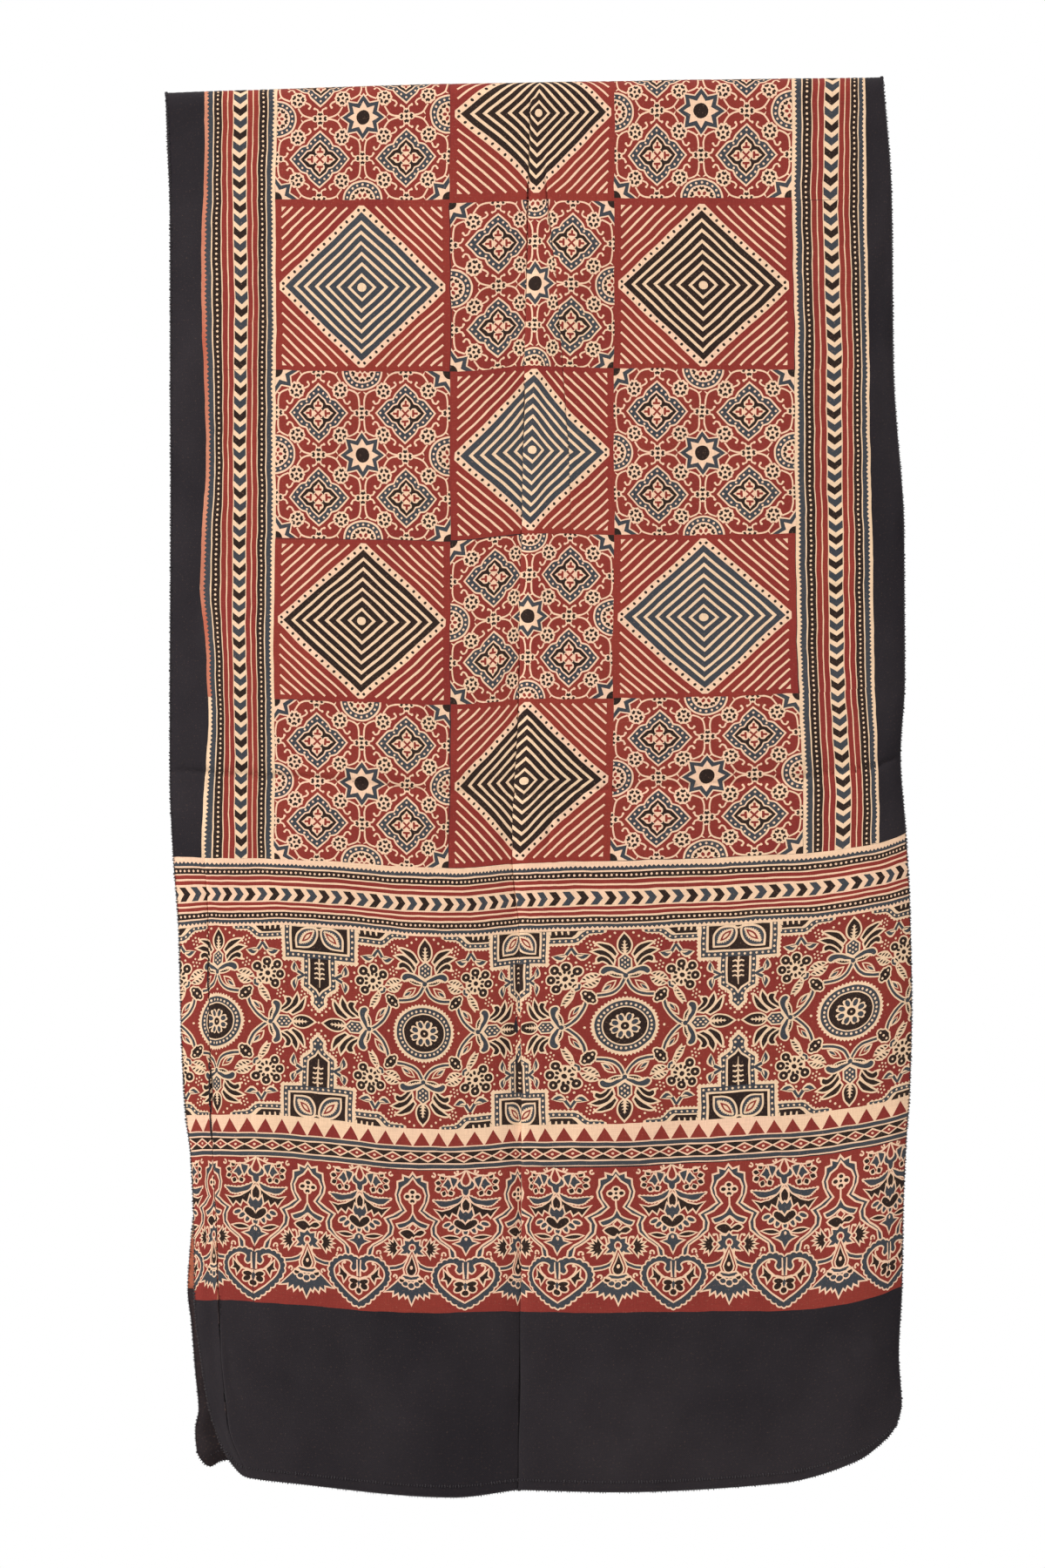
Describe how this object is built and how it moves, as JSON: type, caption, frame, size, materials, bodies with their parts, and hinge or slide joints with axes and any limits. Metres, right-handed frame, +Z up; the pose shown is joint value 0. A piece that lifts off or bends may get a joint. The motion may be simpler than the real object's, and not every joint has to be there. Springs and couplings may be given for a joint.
{
  "type": "ajrakh cloth",
  "caption": "Thin block-printed stole hung doubled over a bar, with bordered ends, a checked field of flowers and nested diamonds, soft creases and an overcast edge.",
  "frame": {"origin": "Midway along the turn of the cloth, on its inside, where the top of a bar carries it.", "axes": "+Z up, +X along the bar to the right of the printed front, and the front faces -Y."},
  "size_m": [0.5658, 0.0534, 1.0768],
  "materials": {
    "ajrakh_cloth": "matte plain-weave cotton, block printed in madder red, indigo blue-grey, black and undyed cream"
  },
  "bodies": {
    "root": {"ajrakh_cloth": "ajrakh_cloth"}
  },
  "joints": []
}
